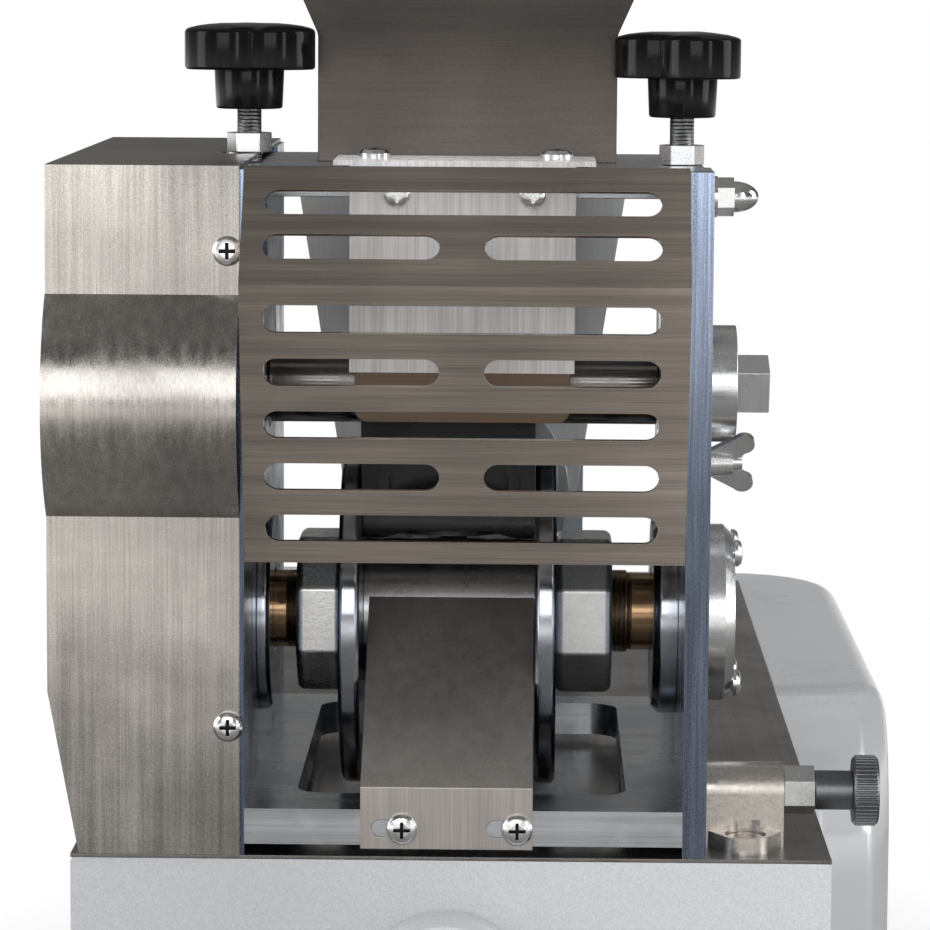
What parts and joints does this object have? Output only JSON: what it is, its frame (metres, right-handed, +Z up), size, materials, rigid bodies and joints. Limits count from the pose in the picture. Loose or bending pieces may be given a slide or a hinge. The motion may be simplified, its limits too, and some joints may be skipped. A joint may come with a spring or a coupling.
{
  "type": "dumpling making machine",
  "caption": "Bench-top machine that forms dumplings between a pocketed die roller and a plain roller, with guard, gear cover, hopper and a screw extruder behind",
  "frame": {"origin": "on the floor under the feet, at the middle of the footprint", "axes": "+X to the machine's right, +Y to its back, +Z up; the front with the guard faces -Y"},
  "size_m": [0.3598, 0.794, 0.6495],
  "materials": {
    "silver_paint": "fine silver hammertone paint",
    "stainless_sheet": "brushed stainless sheet",
    "dark_stainless": "dull stainless sheet",
    "ground_steel": "surface ground steel",
    "machined_steel": "turned steel",
    "dark_machined": "dark turned steel",
    "zinc_plate": "zinc plated steel",
    "bronze": "bearing bronze",
    "black_plastic": "moulded black plastic",
    "rubber": "black rubber",
    "cast_metal": "tumbled casting",
    "gear_steel": "hobbed steel with oil",
    "black_steel": "blackened steel",
    "wiper_fibre": "brown laminate",
    "motor_paint": "grey machine paint",
    "aluminium_plate": "milled aluminium",
    "die_polymer": "black die polymer"
  },
  "bodies": {
    "frame": {"console_body": "silver_paint", "deck_sheet": "dark_stainless", "rear_casing": "silver_paint", "floor_plate": "dark_stainless", "rubber_feet": "rubber", "front_boss": "silver_paint", "left_side_plate": "ground_steel", "right_side_plate": "ground_steel", "head_base_plate": "aluminium_plate", "head_top_plate": "aluminium_plate", "frame_bolts": "black_steel", "gear_cover": "stainless_sheet", "gear_cover_screws": "zinc_plate", "guard_pivot_bolts": "zinc_plate", "cap_nuts": "zinc_plate", "guard_bolt": "zinc_plate", "inner_flanges": "ground_steel", "bearing_housings": "zinc_plate", "lower_bushes": "bronze", "housing_screws": "zinc_plate", "hopper": "stainless_sheet", "die_cover_sheet": "stainless_sheet", "bracket_screws": "zinc_plate", "die_wiper": "wiper_fibre", "chute_plate": "stainless_sheet", "chute_screws": "zinc_plate", "plunger_bracket": "cast_metal", "plunger_body": "zinc_plate", "idler_pin": "machined_steel", "lay_shaft_carrier": "cast_metal", "reducer_motor": "motor_paint", "extruder_barrel": "stainless_sheet", "extruder_drive": "motor_paint"},
    "lower_roller_body": {"lower_shaft": "bronze", "lower_roller": "machined_steel", "left_side_disc": "ground_steel", "right_side_disc": "ground_steel", "clamp_nuts": "zinc_plate", "lower_gear": "gear_steel"},
    "upper_carriage": {"left_bearing_block": "zinc_plate", "right_bearing_block": "zinc_plate", "upper_bushes": "bronze"},
    "die_body": {"upper_shaft": "dark_machined", "die_roller": "die_polymer", "upper_gear": "gear_steel"},
    "left_adjuster": {"left_star_knob": "black_plastic", "left_pressure_stud": "zinc_plate", "left_lock_nut": "zinc_plate"},
    "right_adjuster": {"right_star_knob": "black_plastic", "right_pressure_stud": "zinc_plate", "right_lock_nut": "zinc_plate"},
    "guard_body": {"guard": "stainless_sheet"},
    "wing_nut_body": {"wing_nut": "zinc_plate"},
    "plunger": {"plunger_pin": "ground_steel", "plunger_knob": "black_steel", "plunger_spring": "zinc_plate"},
    "idler": {"idler_gear": "gear_steel"},
    "main_drive": {"main_gear": "gear_steel"},
    "pinion": {"drive_pinion": "gear_steel"},
    "screw": {"extruder_screw": "machined_steel"}
  },
  "joints": [
    {"name": "lower_roller_spin", "type": "hinge", "parent": "frame", "child": "lower_roller_body", "pos_m": [-0.0231, -0.253, 0.33], "axis": [1, 0, 0], "continuous": true},
    {"name": "die_gap_slide", "type": "slide", "parent": "frame", "child": "upper_carriage", "axis": [0, 0, 1], "range_m": [0, 0.0025]},
    {"name": "die_spin", "type": "hinge", "parent": "upper_carriage", "child": "die_body", "pos_m": [-0.0231, -0.253, 0.425], "axis": [1, 0, 0], "continuous": true},
    {"name": "idler_spin", "type": "hinge", "parent": "frame", "child": "idler", "pos_m": [-0.1421, -0.19409, 0.30253], "axis": [1, 0, 0], "continuous": true},
    {"name": "main_gear_spin", "type": "hinge", "parent": "frame", "child": "main_drive", "pos_m": [-0.1421, -0.19409, 0.21753], "axis": [1, 0, 0], "continuous": true},
    {"name": "drive_pinion_spin", "type": "hinge", "parent": "frame", "child": "pinion", "pos_m": [-0.1421, -0.15659, 0.15258], "axis": [1, 0, 0], "continuous": true},
    {"name": "left_knob_turn", "type": "hinge", "parent": "upper_carriage", "child": "left_adjuster", "pos_m": [-0.1091, -0.253, 0.54], "axis": [0, 0, 1], "range_deg": [0, 600]},
    {"name": "right_knob_turn", "type": "hinge", "parent": "upper_carriage", "child": "right_adjuster", "pos_m": [0.0676, -0.253, 0.54], "axis": [0, 0, 1], "range_deg": [0, 600]},
    {"name": "guard_hinge", "type": "hinge", "parent": "frame", "child": "guard_body", "pos_m": [-0.0231, -0.348, 0.507], "axis": [-1, 0, 0], "range_deg": [0, 85]},
    {"name": "wing_nut_spin", "type": "hinge", "parent": "frame", "child": "wing_nut_body", "pos_m": [0.0849, -0.343, 0.4035], "axis": [1, 0, 0], "range_deg": [0, 720]},
    {"name": "plunger_pull", "type": "slide", "parent": "frame", "child": "plunger", "axis": [1, 0, 0], "range_m": [0, 0.008], "stiffness_N_per_m": 1500, "springref_m": -0.006},
    {"name": "extruder_screw_spin", "type": "hinge", "parent": "frame", "child": "screw", "pos_m": [-0.02585, 0.037, 0.36], "axis": [0, 1, 0], "continuous": true}
  ],
  "couplings": [
    {"joint": "die_spin", "follows": "lower_roller_spin", "ratio": -0.46154},
    {"joint": "idler_spin", "follows": "lower_roller_spin", "ratio": -0.85714},
    {"joint": "main_gear_spin", "follows": "lower_roller_spin", "ratio": 0.6},
    {"joint": "drive_pinion_spin", "follows": "lower_roller_spin", "ratio": -1.2},
    {"joint": "left_knob_turn", "follows": "die_gap_slide", "rad_per_m": 4188.8},
    {"joint": "right_knob_turn", "follows": "die_gap_slide", "rad_per_m": 4188.8}
  ]
}
